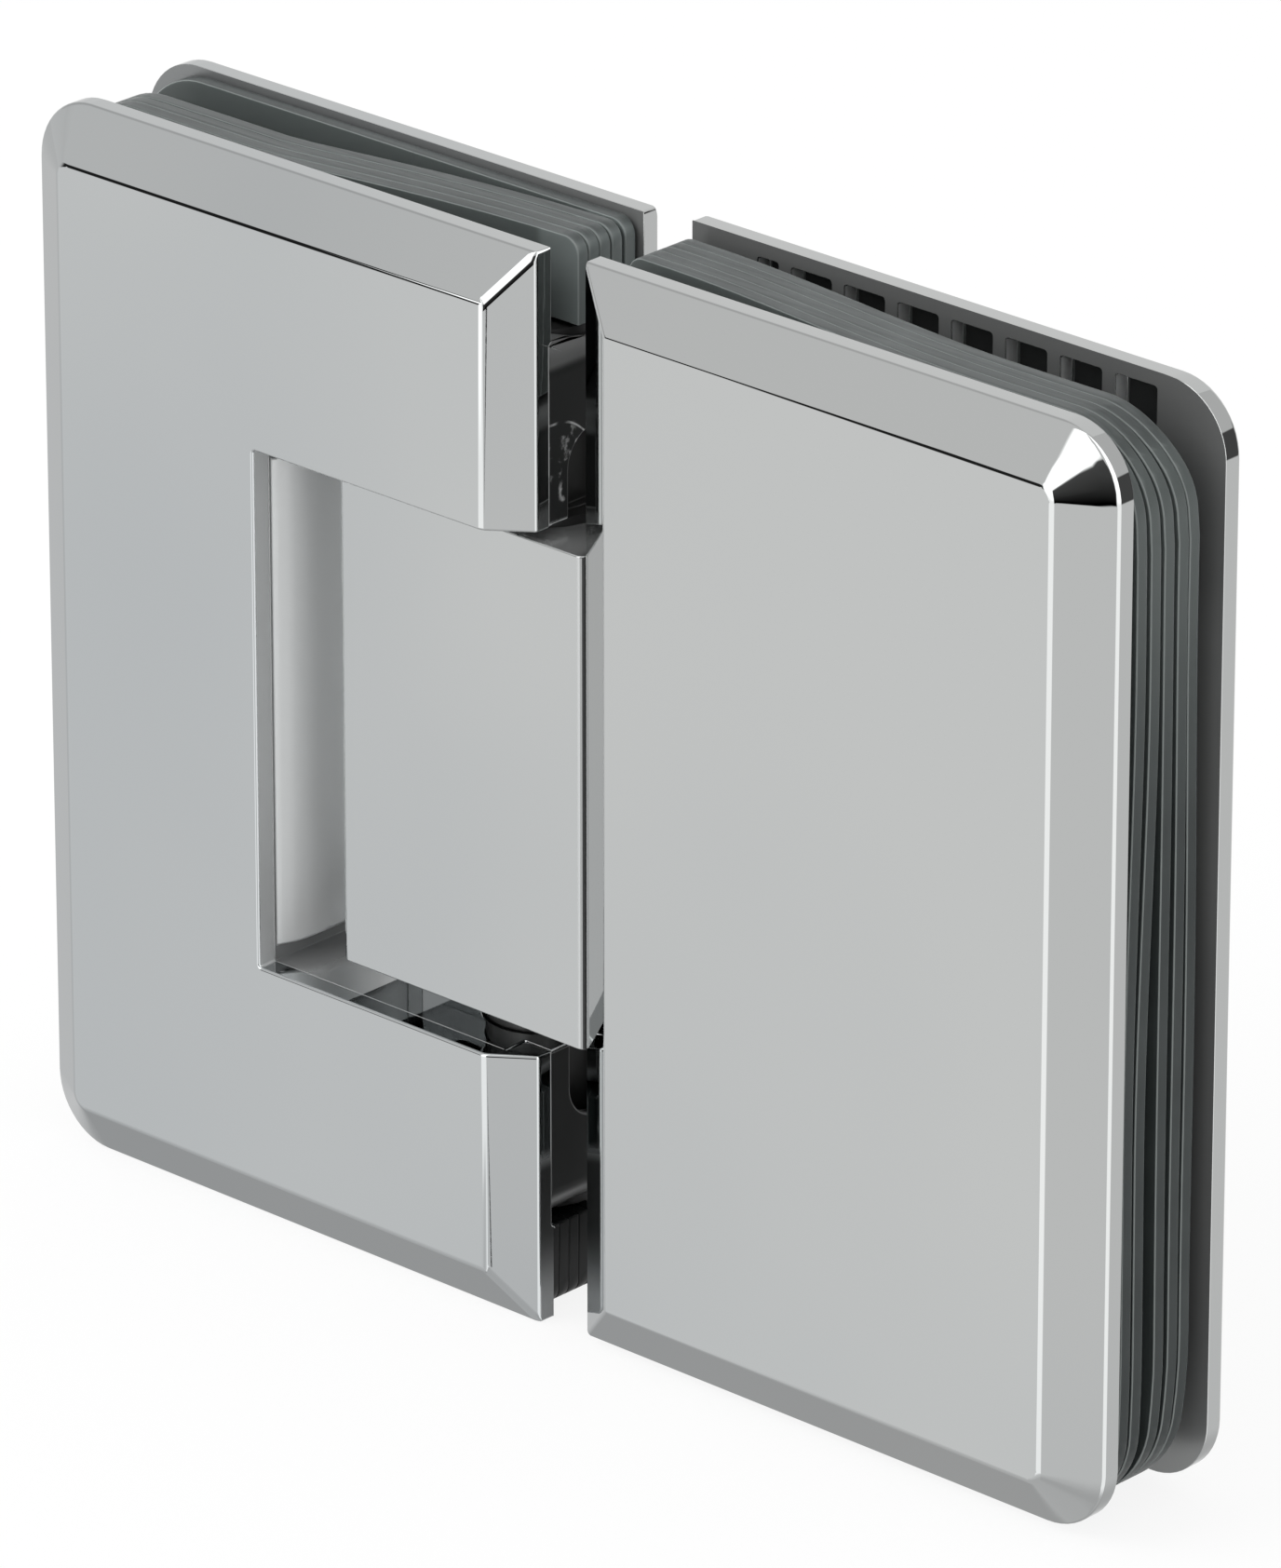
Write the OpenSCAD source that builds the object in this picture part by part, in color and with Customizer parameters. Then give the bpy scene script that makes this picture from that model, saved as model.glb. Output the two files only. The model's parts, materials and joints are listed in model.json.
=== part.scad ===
// Glass door hinge: two bevelled clamps that grip two glass panes edge to edge.
// The fixed clamp carries a knuckle that stands in a notch of the door clamp.
// X runs across both clamps, Y through the glass (front face toward -Y), Z up along the pivot.
// X = 0 is the middle of the gap between the clamps, Y = 0 the middle of the glass slot,
// and Z = 0 the bottom edge of the door clamp.

/* [Clamp plates] */
// Height of each clamp plate
plate_h = 90; // [84:1:110]
// Width of each clamp, from its pivot side to its outer side
clamp_w = 53.5; // [51:0.5:70]
// Thickness of a clamp plate at its rim
plate_t = 4.2; // [3.8:0.1:5.5]
// Wall left between a seat in a plate and the plate's outer face
skin_t = 1.8; // [1.4:0.1:2.2]
// Gap between the two clamps
clamp_gap = 5; // [4:0.5:8]
// Radius of the two outer corners of a clamp
corner_r = 5.6; // [5:0.1:9]
// Width of the bevel round the outer face
bevel_w = 4.4; // [2.5:0.1:4.6]
// Width of the door clamp's bevel on its pivot side, beside the notch
pivot_bevel_w = 3.5; // [2.5:0.1:4.6]
// Depth of the bevel at the plate's edge
bevel_d = 2.6; // [1.5:0.1:3]
// Rounding where the outer face turns into the bevel
edge_r = 1.4; // [0.4:0.1:2]

/* [Glass slot] */
// Distance between the two plates of a clamp
slot_t = 10.4; // [9.5:0.1:13]
// Thickness of one gasket sheet
sheet_t = 1.15; // [0.8:0.05:1.2]
// Gasket sheets in each clamp
sheet_count = 5; // [2:1:5]
// Distance of a gasket's edge from the plate's edge
sheet_inset = 0.5; // [0.3:0.1:3]
// Radius of a gasket's outer corners
sheet_r = 7; // [5:0.5:10]
// Radius of a gasket's corners on the pivot side
sheet_pivot_r = 1.5; // [0.5:0.1:3]
// Space between a gasket and the block that it goes round
sheet_gap = 0.4; // [0.2:0.1:1]

/* [Notch and knuckle] */
// Depth of the door clamp's notch, from its pivot side
notch_d = 28; // [26:0.5:30]
// Height of the door clamp's notch
notch_h = 44; // [38:0.5:46]
// Reach of the knuckle from the pivot axis into the notch
knuckle_reach = 15.4; // [12:0.1:16.5]
// Rounding of the knuckle's upright edges
knuckle_r = 0.8; // [0.4:0.1:1.5]
// Seam between the knuckle and the sides of the fixed plates
knuckle_seam = 0.2; // [0.1:0.05:0.5]
// Gap between the knuckle and the upper edge of the notch
top_gap = 0.7; // [0.3:0.05:1.2]
// How far the door clamp hangs below the fixed clamp
door_drop = 0.6; // [0:0.1:1.2]

/* [Blocks between the plates] */
// Width of the fixed clamp's block
fixed_block_w = 30; // [27:0.5:36]
// Height of the fixed clamp's block
fixed_block_h = 58; // [52:1:64]
// Metal left beside the screw bosses in the door block, behind the notch
spine_wall = 1.4; // [1:0.1:2]
// Height of the door clamp's block
door_block_h = 74; // [72:1:76]
// Radius of the blocks' corners
block_r = 3; // [1:0.5:4]
// Distance of a block's end from its clamp's pivot side
block_inset = 0.2; // [0.1:0.1:0.4]
// Rim of the plates that a block's end passes before it widens into its seats
seat_in = 2.8; // [2:0.1:3]
// How far the door block's crowned wall stands proud of the notch's edge
wall_proud = 1.7; // [0.8:0.1:2]
// Space left above and below that wall
wall_end_gap = 1.2; // [0.8:0.1:2]
// Rounding of that wall's upper and lower ends
wall_end_r = 1.4; // [0.5:0.1:2]
// Play between a block and the seats in its plates
seat_play = 0.1; // [0.05:0.05:0.3]

/* [Pivot] */
// Distance of the pivot axis from the door clamp's pivot side
axis_in = 6; // [5.8:0.1:7]
// Diameter of the pivot pin in the knuckle
pin_d = 9; // [8:0.1:9]
// Distance across the flats of the pin's squared ends
pin_flats = 7.2; // [6.4:0.1:7.4]
// Diameter of the pin's journals
journal_d = 6; // [5:0.1:6.2]
// Length of each journal
journal_l = 4.5; // [3.5:0.1:5]
// Length of each journal bush
bush_l = 6; // [5:0.1:6.5]
// Diameter of the upright bore in each arm of the door block
arm_bore_d = 9.4; // [9.3:0.05:9.6]
// Running clearance of a round part in its hole
run_fit = 0.05; // [0.02:0.01:0.09]
// Clearance of a part that is pressed or screwed in
press_fit = 0.01; // [0.01:0.01:0.03]
// Outer diameter of the thrust washer
washer_d = 12; // [11:0.1:12.5]
// Thickness of the thrust washer
washer_t = 1.5; // [1:0.1:2.2]

/* [Self centring plungers] */
// Diameter of each plunger
plunger_d = 6.3; // [5.5:0.1:6.4]
// Length of a plunger's head
plunger_l = 8; // [6:0.1:9]
// Wire diameter of a plunger spring
spring_wire = 1; // [0.8:0.1:1.1]
// Turns of a plunger spring
spring_turns = 6.5; // [5:0.5:8]
// Diameter of the spigots that hold a spring's ends
spigot_d = 3.4; // [2.8:0.1:3.6]
// Length of those spigots
spigot_l = 2.5; // [1.5:0.1:3]
// Diameter of the screw behind each spring
spring_screw_d = 8; // [7:0.1:8.2]
// Length of the screw behind each spring
spring_screw_l = 8; // [6:0.1:9]
// Width of the arched window at the end of each arm
window_w = 6; // [4:0.1:6.5]
// Height of the arched window
window_h = 7; // [5:0.1:8]

/* [Clamp screws] */
// Thread diameter of the clamp screws
screw_d = 5; // [4:0.5:5]
// Length of a clamp screw, head included
screw_l = 13.5; // [12:0.5:14]
// Head diameter of a clamp screw
screw_head_d = 9; // [8:0.1:9.6]
// Depth of the head's cone
screw_cone = 2.3; // [1.9:0.1:2.6]
// Distance across the flats of the hex sockets
hex_flats = 3; // [2.5:0.5:3]
// Depth of a clamp screw's socket
hex_depth = 2; // [1.5:0.1:2.5]
// Height of each clamp screw above or below the middle
screw_z = 13; // [11:0.5:16]
// Distance of the fixed clamp's screws from its pivot side
fixed_screw_x = 20; // [17:0.5:22]
// Diameter of the cast bosses round the screws
boss_d = 8; // [7.5:0.1:8.4]
// Length of the tapped bosses on the front plates
tapped_boss_l = 7.2; // [6:0.1:8]
// Length of the bosses under the screw heads
head_boss_l = 3; // [2.5:0.1:4]

/* [Grub screws] */
// Thread diameter of the grub screws that lock the pin
grub_d = 5; // [4:0.5:6]
// Depth of a grub screw's end below the knuckle's face
grub_sink = 0.2; // [0:0.1:0.6]
// Height of each grub screw above or below the knuckle's middle
grub_z = 10; // [7:0.5:13]
// Depth of the spots drilled in the pin for the grub screws
grub_spot = 0.6; // [0.3:0.1:1]

/* [Cast pockets] */
// Depth of the ribbed pockets inside the plates
pocket_d = 1.5; // [1:0.1:1.6]
// Rim left between a pocket and the plate's top or bottom edge
pocket_rim = 1.2; // [1:0.1:4]
// Distance of the pockets from the plate's two sides
pocket_side = 6.8; // [6:0.1:12]
// Wall left between a pocket and the block's seat
pocket_wall = 1.8; // [1:0.1:2]
// Width of a rib
rib_w = 1.3; // [0.8:0.1:2]
// Distance from one rib to the next
rib_pitch = 5.4; // [4:0.1:9]

/* [Hidden] */
$fn = 64;

// Overlap that keeps a cut or a joined piece from ending on a shared face
eps = 0.5;
// Steps of the rounding between face and bevel
edge_steps = 4;

hinge_t = slot_t + 2 * plate_t;
face_y = -hinge_t / 2;
seat_y = hinge_t / 2 - skin_t;
door_z = plate_h / 2;
fixed_z = door_z + door_drop;
axis_x = -clamp_gap / 2 - axis_in;
arm_face = notch_h / 2;
arm_end = door_block_h / 2;
knuckle_h = notch_h - 2 * (top_gap + door_drop);
knuckle_t = hinge_t - 2 * bevel_d;
washer_recess = washer_t - top_gap + run_fit;

door_screw_x = notch_d + spine_wall + seat_play + boss_d / 2;
door_block_w = door_screw_x + boss_d / 2 + seat_play + spine_wall;
pin_r = pin_d / 2;
grub_tip = pin_r - grub_spot;
grub_l = knuckle_t / 2 - grub_sink - grub_tip;
bore_r = arm_bore_d / 2;
bush_start = arm_end - bush_l;
nose_x = axis_in + pin_r + run_fit;
plunger_end = nose_x + plunger_l;
spring_screw_x = door_block_w - spring_screw_l;
channel_r = plunger_d / 2 + run_fit;
plunger_level = (arm_face + bush_start) / 2;
hex_r = hex_flats / 2 / cos(30);

chrome = [0.78, 0.79, 0.79];
steel = [0.62, 0.63, 0.64];
brass = [0.78, 0.66, 0.36];
nylon = [0.16, 0.17, 0.17];
gasket_grey = [0.46, 0.50, 0.50];

// Puts a shape drawn for the fixed clamp in its place: x runs outward from the pivot side
module at_fixed() {
    translate([clamp_gap / 2, 0, fixed_z]) children();
}

// The same for the door clamp, which is the mirror image
module at_door() {
    translate([-clamp_gap / 2, 0, door_z]) mirror([1, 0, 0]) children();
}

// Turns a front piece into a back piece
module at_back() {
    mirror([0, 1, 0]) children();
}

// Puts a piece drawn for the upper arm in the lower one
module at_lower() {
    mirror([0, 0, 1]) children();
}

// Draws a piece of the upper arm in both arms
module both_ends() {
    children();
    at_lower() children();
}

// A flat outline drawn in X and Z, from y0 to y1
module slab(y0, y1) {
    translate([0, y1, 0]) rotate([90, 0, 0]) linear_extrude(y1 - y0) children();
}

// A rod along Y from y0 to y1, at x and z
module rod_y(x, z, r, y0, y1) {
    translate([x, y0, z]) rotate([-90, 0, 0]) cylinder(r = r, h = y1 - y0);
}

// A rod along X from x0 to x1, at height z
module rod_x(z, r, x0, x1) {
    translate([x0, 0, z]) rotate([0, 90, 0]) cylinder(r = r, h = x1 - x0);
}

// A flat rectangle with round corners, from x0 to x1 and centred on y
module round_rect(x0, x1, h, r) {
    translate([x0 + r, -h / 2]) square([x1 - x0 - 2 * r, h]);
    translate([x0, r - h / 2]) square([x1 - x0, h - 2 * r]);
    for (x = [x0 + r, x1 - r], y = [r - h / 2, h / 2 - r]) translate([x, y]) circle(r);
}

// Rounds to a thousandth of a millimetre, so that the sides and the corners of a rim meet exactly
function even(v) = round(v * 1000) / 1000;

// Points of the rounding between the outer face and a bevel of width w, from the bevel inward
function edge_points(w) =
    let (slope = atan(bevel_d / w), centre = w + edge_r * tan(slope / 2))
    [
        for (i = [edge_steps:-1:0]) let (a = slope * i / edge_steps)
        [even(centre - edge_r * sin(a)), even(edge_r * (1 - cos(a)))]
    ];

// Cross section of a plate across its bevelled sides, with its outer face on y = 0.
// The bevels are w0 wide at the start and w1 wide at the end of the span.
function plate_section(span, w0, w1) = concat(
    [[0, plate_t], [0, bevel_d]],
    edge_points(w0),
    [for (i = [edge_steps:-1:0]) [span - edge_points(w1)[i][0], edge_points(w1)[i][1]]],
    [[span, bevel_d], [span, plate_t]]
);

// The bevel carried round one outer corner
module corner_turn() {
    rotate([-90, 0, 0]) rotate_extrude() polygon(concat(
        [[0, plate_t], [corner_r, plate_t], [corner_r, bevel_d]],
        [for (p = edge_points(bevel_w)) [corner_r - p[0], p[1]]],
        [[0, 0]]
    ));
}

// Outline of a plate with its two outer corners rounded
module plate_outline() {
    translate([0, 0, -plate_h / 2]) cube([clamp_w - corner_r, plate_t, plate_h]);
    translate([0, 0, corner_r - plate_h / 2]) cube([clamp_w, plate_t, plate_h - 2 * corner_r]);
    for (side = [-1, 1]) {
        translate([clamp_w - corner_r, 0, side * (plate_h / 2 - corner_r)]) corner_turn();
    }
}

// A plain bevelled plate, with mitred corners on its pivot side
module plate_blank(pivot_w) {
    translate([0, face_y, 0]) intersection() {
        translate([0, 0, -plate_h / 2]) linear_extrude(plate_h)
            polygon(plate_section(clamp_w, pivot_w, bevel_w));
        translate([0, 0, -plate_h / 2]) rotate([90, 0, 90]) linear_extrude(clamp_w)
            polygon([for (p = plate_section(plate_h, bevel_w, bevel_w)) [p[1], p[0]]]);
        plate_outline();
    }
}

// Cuts from the inner face of a front plate to a given depth
module inner_cut(depth) {
    slab(-slot_t / 2 - depth, -slot_t / 2 + eps) children();
}

// Shallow cast pockets above and below the block, crossed by upright ribs
module rib_pockets(block_h) {
    z0 = block_h / 2 + pocket_wall;
    z1 = plate_h / 2 - pocket_rim;
    length = clamp_w - 2 * pocket_side;
    ribs = floor((length - rib_w) / rib_pitch);
    for (side = [-1, 1]) inner_cut(pocket_d) difference() {
        translate([pocket_side, side > 0 ? z0 : -z1]) square([length, z1 - z0]);
        for (i = [1:ribs]) {
            translate([clamp_w - pocket_side - i * rib_pitch, -plate_h / 2]) square([rib_w, plate_h]);
        }
    }
}

// A front plate that holds a block of the given size between itself and the back plate,
// with its pivot-side rim eased where the block passes it
module seated_plate(block_w, block_h, pivot_w) {
    seat_h = block_h + 2 * seat_play;
    difference() {
        plate_blank(pivot_w);
        inner_cut(plate_t - skin_t) round_rect(seat_in, block_w + seat_play, seat_h, block_r);
        inner_cut(seat_play) translate([-eps, -seat_h / 2]) square([seat_in + block_r + eps, seat_h]);
        rib_pockets(block_h);
    }
}

// Tapped bosses that take the ends of the clamp screws
module tapped_bosses(x) {
    for (z = [-screw_z, screw_z]) difference() {
        rod_y(x, z, boss_d / 2, -seat_y - skin_t / 2, -seat_y + tapped_boss_l);
        rod_y(x, z, screw_d / 2 + press_fit, -seat_y, -seat_y + tapped_boss_l + eps);
    }
}

// Bosses under the screw heads, drawn on a front plate and mirrored with it
module head_bosses(x) {
    for (z = [-screw_z, screw_z]) {
        rod_y(x, z, boss_d / 2, -seat_y - skin_t / 2, -seat_y + head_boss_l);
    }
}

// Countersunk holes for the clamp screws
module head_holes(x) {
    for (z = [-screw_z, screw_z]) {
        rod_y(x, z, screw_d / 2 + run_fit, face_y - eps, -seat_y + head_boss_l + eps);
        translate([x, face_y, z]) rotate([-90, 0, 0]) {
            cylinder(r1 = screw_head_d / 2, r2 = screw_d / 2 + run_fit, h = screw_cone);
        }
    }
}

// The notch through a door plate
module notch_cut() {
    slab(face_y - eps, face_y + hinge_t) translate([-eps, -notch_h / 2]) square([notch_d + eps, notch_h]);
}

module fixed_front_plate() {
    color(chrome) at_fixed() {
        seated_plate(fixed_block_w, fixed_block_h, bevel_w);
        tapped_bosses(fixed_screw_x);
    }
}

module fixed_back_plate() {
    color(chrome) at_fixed() at_back() difference() {
        union() {
            seated_plate(fixed_block_w, fixed_block_h, bevel_w);
            head_bosses(fixed_screw_x);
        }
        head_holes(fixed_screw_x);
    }
}

module door_front_plate() {
    color(chrome) at_door() {
        difference() {
            seated_plate(door_block_w, door_block_h, pivot_bevel_w);
            notch_cut();
        }
        tapped_bosses(door_screw_x);
    }
}

module door_back_plate() {
    color(chrome) at_door() at_back() difference() {
        union() {
            seated_plate(door_block_w, door_block_h, pivot_bevel_w);
            head_bosses(door_screw_x);
        }
        notch_cut();
        head_holes(door_screw_x);
    }
}

// A block that fills the slot and widens into the seats of both plates
module block_outline(w, h) {
    slab(-slot_t / 2, slot_t / 2) round_rect(block_inset, w, h, block_r);
    slab(-seat_y, seat_y) round_rect(seat_in + seat_play, w, h, block_r);
}

// Knuckle: a thick head that carries the pivot pin, cast in one with the fixed clamp's block.
// Its faces lie level with the outer edges of the plates' bevels.
module knuckle() {
    pivot_x = -clamp_gap - axis_in;
    color(chrome) at_fixed() difference() {
        union() {
            translate([0, 0, -knuckle_h / 2]) linear_extrude(knuckle_h) {
                round_rect(pivot_x - knuckle_reach, -knuckle_seam, knuckle_t, knuckle_r);
                translate([-knuckle_seam - eps, -slot_t / 2]) {
                    square([knuckle_seam + block_inset + 2 * eps, slot_t]);
                }
            }
            block_outline(fixed_block_w, fixed_block_h);
        }
        translate([pivot_x, 0, -knuckle_h / 2 - eps]) {
            cylinder(r = pin_r + press_fit, h = knuckle_h + 2 * eps);
        }
        translate([pivot_x, 0, knuckle_h / 2 - washer_recess]) {
            cylinder(r = washer_d / 2 + run_fit, h = washer_recess + eps);
        }
        for (z = [-grub_z, grub_z]) rod_y(pivot_x, z, grub_d / 2 + press_fit, 0, knuckle_t / 2 + eps);
        for (z = [-screw_z, screw_z]) {
            rod_y(fixed_screw_x, z, boss_d / 2 + seat_play, -seat_y - eps, seat_y + eps);
        }
    }
}

// Pivot pin: round in the knuckle, squared where the plungers press, with a journal at each end
module pivot_pin() {
    square_l = bush_start - arm_face;
    color(steel) translate([axis_x, 0, door_z]) difference() {
        union() {
            translate([0, 0, -arm_face - run_fit]) cylinder(r = pin_r, h = notch_h + 2 * run_fit);
            both_ends() {
                translate([0, 0, arm_face]) intersection() {
                    cylinder(r = pin_r, h = square_l);
                    translate([-pin_flats / 2, -pin_flats / 2, 0]) cube([pin_flats, pin_flats, square_l]);
                }
                translate([0, 0, bush_start - eps]) cylinder(r = journal_d / 2, h = journal_l + eps);
            }
        }
        for (z = [-grub_z, grub_z]) {
            rod_y(0, z + door_drop, grub_d / 2, grub_tip, pin_r + eps);
        }
    }
}

module thrust_washer() {
    seat_z = knuckle_h / 2 - washer_recess;
    color(nylon) at_fixed() translate([-clamp_gap - axis_in, 0, seat_z]) difference() {
        cylinder(r = washer_d / 2, h = washer_t);
        translate([0, 0, -eps]) cylinder(r = pin_r + run_fit, h = washer_t + 2 * eps);
    }
}

// A countersunk clamp screw with a hex socket, drawn with its head on a back plate
module clamp_screw(x, z) {
    difference() {
        union() {
            rod_y(x, z, screw_d / 2, hinge_t / 2 - screw_l, hinge_t / 2 - screw_cone);
            translate([x, hinge_t / 2, z]) rotate([90, 0, 0]) {
                cylinder(r1 = screw_head_d / 2, r2 = screw_d / 2, h = screw_cone);
            }
        }
        translate([x, hinge_t / 2 - hex_depth, z]) rotate([-90, 0, 0]) {
            cylinder(r = hex_r, h = hex_depth + eps, $fn = 6);
        }
    }
}

module fixed_clamp_screws() {
    color(steel) at_fixed() for (z = [-screw_z, screw_z]) clamp_screw(fixed_screw_x, z);
}

module door_clamp_screws() {
    color(steel) at_door() for (z = [-screw_z, screw_z]) clamp_screw(door_screw_x, z);
}

// Two grub screws that lock the pin in the knuckle at the closing angle wanted
module grub_screws() {
    color(steel) translate([axis_x, 0, fixed_z]) for (z = [-grub_z, grub_z]) difference() {
        rod_y(0, z, grub_d / 2 - press_fit, grub_tip, grub_tip + grub_l);
        translate([0, grub_tip + grub_l / 2, z]) rotate([-90, 0, 0]) {
            cylinder(r = hex_r, h = grub_l, $fn = 6);
        }
    }
}

// One gasket sheet, with a cut-out for the block
module gasket(i, block_w, block_h) {
    y0 = -slot_t / 2 + (i - 1) * sheet_t;
    sheet_h = plate_h - 2 * sheet_inset;
    slab(y0, y0 + sheet_t) difference() {
        union() {
            round_rect(sheet_inset, clamp_w - sheet_inset, sheet_h, sheet_r);
            round_rect(sheet_inset, clamp_w - sheet_inset - sheet_r, sheet_h, sheet_pivot_r);
        }
        round_rect(-block_r - eps, block_w + sheet_gap, block_h + 2 * sheet_gap, block_r);
    }
}

// Door block: a C-shaped casting whose two arms hold the ends of the pivot pin
module door_block() {
    color(chrome) at_door() difference() {
        union() {
            difference() {
                block_outline(door_block_w, door_block_h);
                slab(-hinge_t / 2, hinge_t / 2) {
                    translate([-eps, -notch_h / 2]) square([notch_d + eps, notch_h]);
                }
            }
            crowned_wall();
        }
        both_ends() arm_cuts();
        for (z = [-screw_z, screw_z]) {
            rod_y(door_screw_x, z, boss_d / 2 + seat_play, -seat_y - eps, seat_y + eps);
        }
    }
}

// The wall at the back of the notch, crowned from its front edge to its back edge
module crowned_wall() {
    wall_h = notch_h - 2 * wall_end_gap;
    half = seat_y - seat_play;
    crown_r = (half * half + wall_proud * wall_proud) / (2 * wall_proud);
    intersection() {
        translate([notch_d - wall_proud + crown_r, 0, -wall_h / 2]) cylinder(r = crown_r, h = wall_h);
        slab(-seat_y, seat_y) {
            round_rect(notch_d - wall_proud, notch_d + 2 * wall_end_r, wall_h, wall_end_r);
        }
    }
}

// Bore, plunger channel and arched window of the upper arm
module arm_cuts() {
    arch_r = window_w / 2;
    translate([axis_in, 0, arm_face - eps]) cylinder(r = bore_r, h = arm_end - arm_face + 2 * eps);
    rod_x(plunger_level, channel_r, axis_in, door_block_w);
    rod_x(plunger_level, spring_screw_d / 2 + press_fit, spring_screw_x - eps, door_block_w + eps);
    rod_x(arm_face + window_h - arch_r, arch_r, -eps, axis_in);
    translate([-eps, -arch_r, arm_face - eps]) cube([axis_in + eps, window_w, window_h - arch_r + eps]);
}

// Bush that carries the pin's upper journal
module bush() {
    translate([axis_in, 0, bush_start]) difference() {
        cylinder(r = bore_r - press_fit, h = bush_l);
        translate([0, 0, -eps]) cylinder(r = journal_d / 2 + run_fit, h = bush_l + 2 * eps);
    }
}

module upper_bush() {
    color(nylon) at_door() bush();
}

module lower_bush() {
    color(nylon) at_door() at_lower() bush();
}

// Plunger that a spring presses against the pin, with a spigot for the spring
module plunger() {
    rod_x(plunger_level, plunger_d / 2, nose_x, plunger_end);
    rod_x(plunger_level, spigot_d / 2, plunger_end - eps, plunger_end + spigot_l);
}

module upper_plunger() {
    color(brass) at_door() plunger();
}

module lower_plunger() {
    color(brass) at_door() at_lower() plunger();
}

// Screw that closes a spring's channel, with a spigot and a hex socket
module spring_screw() {
    difference() {
        union() {
            rod_x(plunger_level, spring_screw_d / 2, spring_screw_x, door_block_w);
            rod_x(plunger_level, spigot_d / 2, spring_screw_x - spigot_l, spring_screw_x + eps);
        }
        translate([door_block_w - hex_depth, 0, plunger_level]) rotate([0, 90, 0]) {
            cylinder(r = hex_r, h = hex_depth + eps, $fn = 6);
        }
    }
}

module upper_spring_screw() {
    color(steel) at_door() spring_screw();
}

module lower_spring_screw() {
    color(steel) at_door() at_lower() spring_screw();
}

// Points of a round wire wound along X: ring i of the helix has ring_sides points
ring_sides = 8;
rings_per_turn = 16;
module plunger_spring() {
    wire_r = spring_wire / 2;
    coil_r = channel_r - run_fit - wire_r;
    x0 = plunger_end + wire_r;
    x1 = spring_screw_x - wire_r;
    last = floor(spring_turns * rings_per_turn);
    points = [
        for (i = [0:last], k = [0:ring_sides - 1])
        let (turn = 360 * i / rings_per_turn, a = 360 * k / ring_sides, r = coil_r + wire_r * cos(a))
        [x0 + (x1 - x0) * i / last + wire_r * sin(a), r * cos(turn), r * sin(turn)]
    ];
    sides = [
        for (i = [0:last - 1], k = [0:ring_sides - 1])
        let (a = i * ring_sides + k, b = i * ring_sides + (k + 1) % ring_sides)
        [a, b, b + ring_sides, a + ring_sides]
    ];
    ends = [
        [for (k = [ring_sides - 1:-1:0]) k],
        [for (k = [0:ring_sides - 1]) last * ring_sides + k]
    ];
    translate([0, 0, plunger_level]) polyhedron(points, concat(sides, ends), convexity = 10);
}

module upper_spring() {
    color(steel) at_door() plunger_spring();
}

module lower_spring() {
    color(steel) at_door() at_lower() plunger_spring();
}

fixed_front_plate();
fixed_back_plate();
knuckle();
pivot_pin();
thrust_washer();
fixed_clamp_screws();
grub_screws();
door_front_plate();
door_back_plate();
door_block();
upper_bush();
lower_bush();
upper_plunger();
lower_plunger();
upper_spring();
lower_spring();
upper_spring_screw();
lower_spring_screw();
door_clamp_screws();
for (i = [1:sheet_count]) {
    union() {
        color(gasket_grey) at_fixed() gasket(i, fixed_block_w, fixed_block_h);
    }
    union() {
        color(gasket_grey) at_door() gasket(i, door_block_w, door_block_h);
    }
}
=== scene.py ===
# Glass door hinge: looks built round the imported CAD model, in metres, in the same frame.
# X runs across both clamps, the front faces -Y, and Z goes up along the pivot.
import json
import math

import bmesh
import bpy
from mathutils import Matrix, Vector

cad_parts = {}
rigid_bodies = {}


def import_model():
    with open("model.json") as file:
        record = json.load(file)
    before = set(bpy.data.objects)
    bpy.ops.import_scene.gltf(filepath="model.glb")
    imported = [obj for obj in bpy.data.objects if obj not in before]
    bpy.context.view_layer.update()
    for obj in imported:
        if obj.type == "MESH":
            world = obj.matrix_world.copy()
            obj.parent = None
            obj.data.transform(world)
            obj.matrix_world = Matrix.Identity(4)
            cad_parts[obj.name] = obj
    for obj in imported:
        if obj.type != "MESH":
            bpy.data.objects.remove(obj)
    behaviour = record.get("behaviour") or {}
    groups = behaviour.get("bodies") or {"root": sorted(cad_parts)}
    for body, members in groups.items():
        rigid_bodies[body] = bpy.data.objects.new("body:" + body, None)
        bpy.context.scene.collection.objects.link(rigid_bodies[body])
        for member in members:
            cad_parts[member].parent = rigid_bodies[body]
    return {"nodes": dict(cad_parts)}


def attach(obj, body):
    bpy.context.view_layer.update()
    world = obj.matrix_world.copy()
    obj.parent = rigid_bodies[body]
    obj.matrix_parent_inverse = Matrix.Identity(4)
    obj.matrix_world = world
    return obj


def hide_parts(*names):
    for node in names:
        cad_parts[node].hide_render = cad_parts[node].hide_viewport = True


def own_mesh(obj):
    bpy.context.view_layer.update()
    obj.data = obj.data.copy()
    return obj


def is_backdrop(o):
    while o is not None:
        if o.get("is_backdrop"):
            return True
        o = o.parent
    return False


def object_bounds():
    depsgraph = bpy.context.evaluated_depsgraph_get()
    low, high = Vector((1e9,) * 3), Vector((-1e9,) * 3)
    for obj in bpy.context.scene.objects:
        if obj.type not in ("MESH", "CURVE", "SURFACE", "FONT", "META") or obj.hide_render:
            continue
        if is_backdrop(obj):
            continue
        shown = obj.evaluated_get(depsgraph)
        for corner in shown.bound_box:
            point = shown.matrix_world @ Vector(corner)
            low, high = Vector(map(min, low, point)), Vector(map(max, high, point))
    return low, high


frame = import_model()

mm = 0.001
cad_low, cad_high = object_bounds()


# Knuckle
# The zinc casting of the fixed clamp: a thick head that stands in the notch and a block that lies
# between the plates. It is polished and chrome plated, and its right corner has a painted reflection
# of the dark gap.

def reach(node):
    """The lowest and the highest X, Y and Z of a CAD node."""
    points = [point.co for point in frame["nodes"][node].data.vertices]
    return [Vector([pick(point[axis] for point in points) for axis in range(3)]) for pick in (min, max)]


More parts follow.
